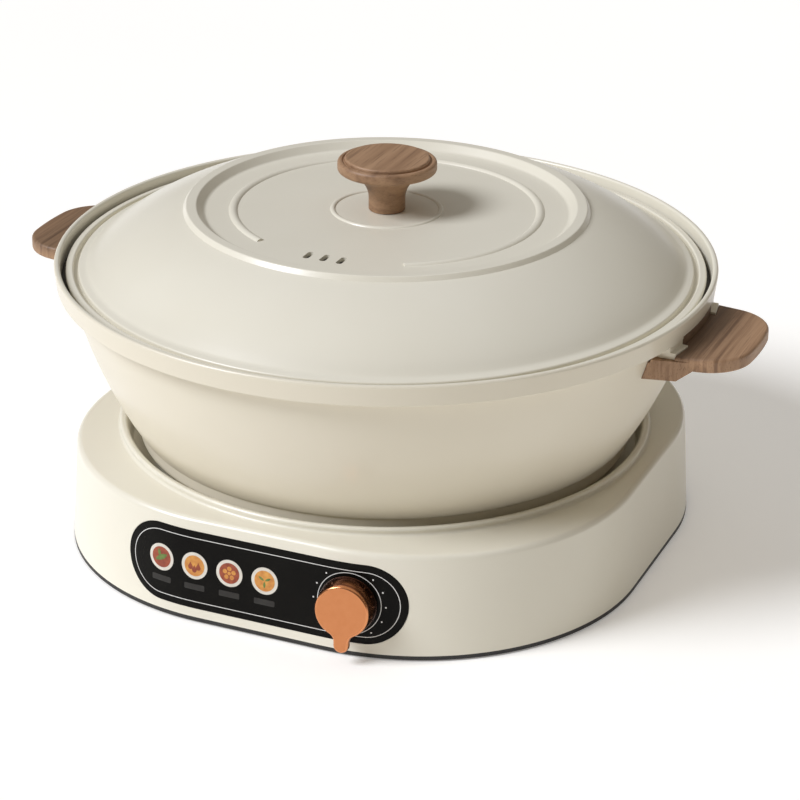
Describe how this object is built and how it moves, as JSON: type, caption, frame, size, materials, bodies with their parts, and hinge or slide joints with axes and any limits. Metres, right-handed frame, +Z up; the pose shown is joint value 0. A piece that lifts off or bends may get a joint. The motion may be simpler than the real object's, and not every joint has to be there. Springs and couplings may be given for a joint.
{
  "type": "divided hot pot",
  "caption": "Countertop electric hot pot: a rounded-square heated base with a front control panel, a wide pot with an S-shaped divider and wooden handles, and a lift-off domed lid.",
  "frame": {"origin": "centre of the pot's axis on the table, under the middle of the base", "axes": "+X from handle to handle towards the handle on the right as seen from the front, +Z up, front panel towards -Y"},
  "size_m": [0.3888, 0.33, 0.193],
  "materials": {
    "cream_plastic": "cream moulded plastic, semi-gloss",
    "dark_plastic": "near-black moulded plastic, fine matte grain",
    "foot_rubber": "matte black rubber",
    "steel": "plain bright steel",
    "bare_aluminium": "cast aluminium, turned face",
    "white_plastic": "heat-resistant white plastic",
    "panel_black": "gloss black panel with a thin pale line",
    "copper_plating": "copper plating, polished side and satin face",
    "brass": "plain brass",
    "board_green": "green circuit board",
    "lamp_white": "milky lamp",
    "cream_coating": "aluminium under a cream ceramic-style coating, semi-gloss",
    "wood": "oiled mid-brown wood, straight grain",
    "seal_rubber": "pale silicone rubber"
  },
  "bodies": {
    "base": {"base_shell": "cream_plastic", "bottom_cover": "dark_plastic", "rubber_feet": "foot_rubber", "cover_screws": "steel", "heating_plate": "bare_aluminium", "heating_element": "steel", "heat_shield": "steel", "plate_screws": "steel", "thermal_cutout": "white_plastic", "probe_sleeve": "white_plastic", "probe_spring": "steel", "front_panel": "panel_black", "control_switch": "dark_plastic", "switch_nut": "brass", "control_board": "board_green", "panel_lamps": "lamp_white", "board_screws": "steel", "power_inlet": "dark_plastic", "inlet_pins": "brass"},
    "dial": {"control_knob": "copper_plating", "control_shaft": "steel"},
    "probe": {"probe_cap": "bare_aluminium"},
    "pot": {"pot_body": "cream_coating", "pot_divider": "cream_coating", "handle_right": "wood", "handle_left": "wood", "handle_screws": "steel"},
    "cover": {"lid": "cream_coating", "lid_knob": "wood", "knob_washer": "seal_rubber", "knob_screw": "steel"}
  },
  "joints": [
    {"name": "dial_turn", "type": "hinge", "parent": "base", "child": "dial", "pos_m": [0.0454, -0.1465, 0.0271], "axis": [-0.1093, 0.9917, -0.067], "range_deg": [0, 270]},
    {"name": "probe_press", "type": "slide", "parent": "base", "child": "probe", "axis": [0, 0, 1], "range_m": [-0.003, 0], "stiffness_N_per_m": 300, "springref_m": 0.002, "deforming": ["probe_spring"]},
    {"name": "pot_lift", "type": "slide", "parent": "base", "child": "pot", "axis": [0, 0, 1], "range_m": [0, 0.12]},
    {"name": "lid_lift", "type": "slide", "parent": "pot", "child": "cover", "axis": [0, 0, 1], "range_m": [0, 0.1]}
  ]
}
